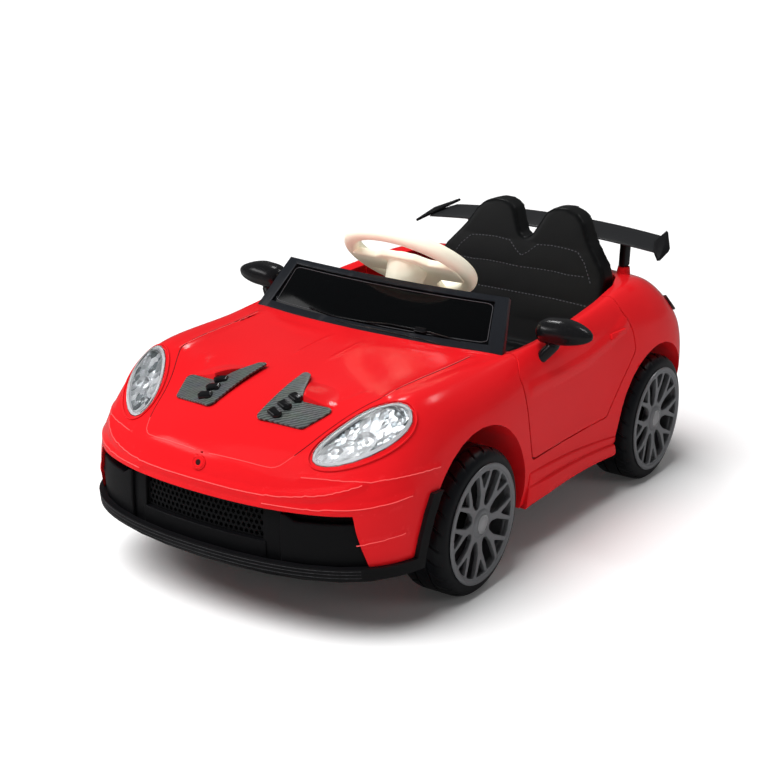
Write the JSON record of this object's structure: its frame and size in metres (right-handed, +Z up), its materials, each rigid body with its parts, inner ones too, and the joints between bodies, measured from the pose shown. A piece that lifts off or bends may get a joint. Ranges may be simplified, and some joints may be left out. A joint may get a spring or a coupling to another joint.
{
  "type": "kids ride-on car",
  "caption": "Battery ride-on toy sports car: moulded shell, opening doors, linked front steering, spoked wheels, low seat, rear wing.",
  "frame": {"origin": "on the ground under the middle of the car's overall box", "axes": "+X to the car's left, -Y towards the nose, +Z up"},
  "size_m": [0.6898, 1.15, 0.5025],
  "materials": {
    "body_red": "glossy moulded red",
    "satin_black": "satin black",
    "tyre_black": "blue-black moulded plastic tyre",
    "steel": "zinc plated",
    "wheel_grey": "dark silver paint",
    "cap_silver": "silver paint",
    "wheel_cream": "cream plastic",
    "pane_black": "glossy dark pane",
    "reflector": "vacuum plated",
    "lens": "clear",
    "lens_smoke": "smoked",
    "mirror_silver": "mirror film"
  },
  "bodies": {
    "body": {"body_shell": "body_red", "door_hinge_left": "steel", "door_hinge_right": "steel", "floor_pan": "satin_black", "battery": "satin_black", "front_grille": "satin_black", "front_splitter": "satin_black", "rear_valance": "satin_black", "tail_light_left": "lens_smoke", "tail_light_right": "lens_smoke", "headlight_lens_left": "lens", "headlight_lens_right": "lens", "headlight_reflector_left": "reflector", "headlight_reflector_right": "reflector", "hood_vent_left": "satin_black", "hood_vent_right": "satin_black", "windscreen_frame": "satin_black", "windscreen_pane": "pane_black", "dashboard": "satin_black", "seat": "satin_black", "rear_wing": "satin_black", "wing_post_left": "satin_black", "wing_post_right": "satin_black", "front_axle_beam": "satin_black", "rear_axle": "steel", "drive_gearbox_left": "satin_black", "drive_gearbox_right": "satin_black"},
    "door_left": {"door_left": "body_red", "mirror_left": "satin_black", "mirror_glass_left": "mirror_silver"},
    "door_right": {"door_right": "body_red", "mirror_right": "satin_black", "mirror_glass_right": "mirror_silver"},
    "steering": {"steering_column": "steel", "steering_wheel": "wheel_cream"},
    "horn_button": {"horn_button": "wheel_cream"},
    "knuckle_left": {"steering_knuckle_left": "steel"},
    "knuckle_right": {"steering_knuckle_right": "steel"},
    "tie_rod": {"tie_rod": "steel"},
    "power_button": {"power_button": "wheel_grey"},
    "direction_switch": {"direction_switch": "wheel_grey"},
    "accelerator_pedal": {"accelerator_pedal": "satin_black"},
    "front_wheel_left": {"front_tyre_left": "tyre_black", "front_wheel_left": "wheel_grey", "front_centre_cap_left": "cap_silver"},
    "front_wheel_right": {"front_tyre_right": "tyre_black", "front_wheel_right": "wheel_grey", "front_centre_cap_right": "cap_silver"},
    "rear_wheel_left": {"rear_tyre_left": "tyre_black", "rear_wheel_left": "wheel_grey", "rear_centre_cap_left": "cap_silver"},
    "rear_wheel_right": {"rear_tyre_right": "tyre_black", "rear_wheel_right": "wheel_grey", "rear_centre_cap_right": "cap_silver"}
  },
  "joints": [
    {"name": "door_left_hinge", "type": "hinge", "parent": "body", "child": "door_left", "pos_m": [0.272, -0.1195, 0.2265], "axis": [0, 0.2419, -0.9703], "range_deg": [0, 40]},
    {"name": "door_right_hinge", "type": "hinge", "parent": "body", "child": "door_right", "pos_m": [-0.272, -0.1195, 0.2265], "axis": [0, -0.2419, 0.9703], "range_deg": [0, 40]},
    {"name": "steering_turn", "type": "hinge", "parent": "body", "child": "steering", "pos_m": [0, -0.01789, 0.43002], "axis": [0, 0.5736, 0.8192], "range_deg": [-22, 22]},
    {"name": "horn_press", "type": "slide", "parent": "steering", "child": "horn_button", "axis": [0, -0.5736, -0.8192], "range_m": [0, 0.0025], "stiffness_N_per_m": 400, "springref_m": -0.001},
    {"name": "knuckle_left_pivot", "type": "hinge", "parent": "body", "child": "knuckle_left", "pos_m": [0.182, -0.258, 0.115], "axis": [0, 0, 1], "range_deg": [-22, 22]},
    {"name": "knuckle_right_pivot", "type": "hinge", "parent": "body", "child": "knuckle_right", "pos_m": [-0.182, -0.258, 0.115], "axis": [0, 0, 1], "range_deg": [-22, 22]},
    {"name": "tie_rod_pivot", "type": "hinge", "parent": "knuckle_left", "child": "tie_rod", "pos_m": [0.182, -0.218, 0.0745], "axis": [0, 0, 1], "range_deg": [-22, 22]},
    {"name": "power_press", "type": "slide", "parent": "body", "child": "power_button", "axis": [0, -1, 0], "range_m": [0, 0.003], "stiffness_N_per_m": 300, "springref_m": -0.001},
    {"name": "direction_rock", "type": "hinge", "parent": "body", "child": "direction_switch", "pos_m": [0.1, -0.041, 0.302], "axis": [1, 0, 0], "range_deg": [-6, 6]},
    {"name": "accelerator_press", "type": "hinge", "parent": "body", "child": "accelerator_pedal", "pos_m": [-0.06, -0.1205, 0.1105], "axis": [-1, 0, 0], "range_deg": [0, 12], "stiffness_Nm_per_rad": 0.5, "springref_deg": -6.88},
    {"name": "front_wheel_left_spin", "type": "hinge", "parent": "knuckle_left", "child": "front_wheel_left", "pos_m": [0.254, -0.258, 0.115], "axis": [1, 0, 0], "continuous": true},
    {"name": "front_wheel_right_spin", "type": "hinge", "parent": "knuckle_right", "child": "front_wheel_right", "pos_m": [-0.254, -0.258, 0.115], "axis": [1, 0, 0], "continuous": true},
    {"name": "rear_wheel_left_spin", "type": "hinge", "parent": "body", "child": "rear_wheel_left", "pos_m": [0.254, 0.362, 0.115], "axis": [1, 0, 0], "continuous": true},
    {"name": "rear_wheel_right_spin", "type": "hinge", "parent": "body", "child": "rear_wheel_right", "pos_m": [-0.254, 0.362, 0.115], "axis": [1, 0, 0], "continuous": true}
  ],
  "couplings": [
    {"joint": "knuckle_left_pivot", "follows": "steering_turn", "ratio": 1},
    {"joint": "knuckle_right_pivot", "follows": "steering_turn", "ratio": 1},
    {"joint": "tie_rod_pivot", "follows": "steering_turn", "ratio": -1}
  ]
}
